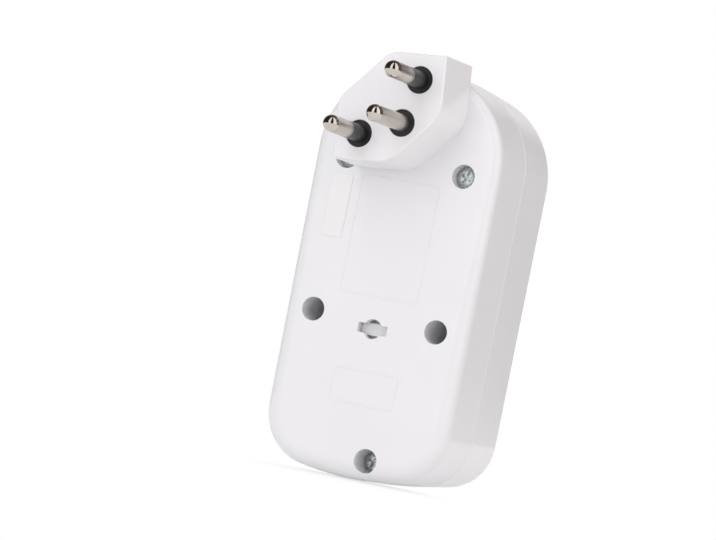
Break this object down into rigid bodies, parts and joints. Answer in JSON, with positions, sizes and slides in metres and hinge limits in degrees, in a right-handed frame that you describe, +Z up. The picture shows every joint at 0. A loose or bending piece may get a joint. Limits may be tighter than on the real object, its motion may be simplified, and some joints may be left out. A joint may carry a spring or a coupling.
{
  "type": "multi-plug adapter",
  "caption": "Wall-plug adapter: long rounded housing with a hexagonal round-pin plug on its back and a row of matching recessed sockets with sliding shutters in its front.",
  "frame": {"origin": "middle between the line and neutral pins, on the plug's face", "axes": "+Y along the pins, into the wall socket; +Z up along the body towards its plug end; +X to the right for someone who faces the sockets"},
  "size_m": [0.0466, 0.076, 0.1002],
  "materials": {
    "housing": "white moulded plastic, softly glossy",
    "black_insert": "black moulded plastic",
    "plated_pins": "nickel-plated brass, polished",
    "contact_metal": "spring brass, stamped",
    "inner_moulding": "pale grey moulded plastic",
    "insulating_sheet": "brown laminate sheet",
    "shutters": "light grey moulded plastic",
    "spring_steel": "spring steel leaf",
    "zinc_screws": "zinc-plated steel"
  },
  "bodies": {
    "housing": {"rear_housing": "housing", "front_housing": "housing", "plug_block": "housing", "pin_carrier": "black_insert", "line_pin_sleeve": "black_insert", "neutral_pin_sleeve": "black_insert", "line_pin": "plated_pins", "neutral_pin": "plated_pins", "earth_pin": "plated_pins", "line_bar": "contact_metal", "neutral_bar": "contact_metal", "earth_bar": "contact_metal", "contact_carrier": "inner_moulding", "insulating_plate": "insulating_sheet", "housing_screws": "zinc_screws", "upper_shutter_spring": "spring_steel", "upper_line_contact": "contact_metal", "upper_neutral_contact": "contact_metal", "upper_earth_contact": "contact_metal", "middle_shutter_spring": "spring_steel", "middle_line_contact": "contact_metal", "middle_neutral_contact": "contact_metal", "middle_earth_contact": "contact_metal", "lower_shutter_spring": "spring_steel", "lower_line_contact": "contact_metal", "lower_neutral_contact": "contact_metal", "lower_earth_contact": "contact_metal"},
    "upper_shutter_slider": {"upper_shutter": "shutters"},
    "middle_shutter_slider": {"middle_shutter": "shutters"},
    "lower_shutter_slider": {"lower_shutter": "shutters"}
  },
  "joints": [
    {"name": "upper_shutter_slide", "type": "slide", "parent": "housing", "child": "upper_shutter_slider", "axis": [0.6428, 0, -0.766], "range_m": [0, 0.0045], "stiffness_N_per_m": 60, "springref_m": -0.003, "deforming": ["upper_shutter_spring"]},
    {"name": "middle_shutter_slide", "type": "slide", "parent": "housing", "child": "middle_shutter_slider", "axis": [0.6428, 0, -0.766], "range_m": [0, 0.0045], "stiffness_N_per_m": 60, "springref_m": -0.003, "deforming": ["middle_shutter_spring"]},
    {"name": "lower_shutter_slide", "type": "slide", "parent": "housing", "child": "lower_shutter_slider", "axis": [0.6428, 0, -0.766], "range_m": [0, 0.0045], "stiffness_N_per_m": 60, "springref_m": -0.003, "deforming": ["lower_shutter_spring"]}
  ]
}
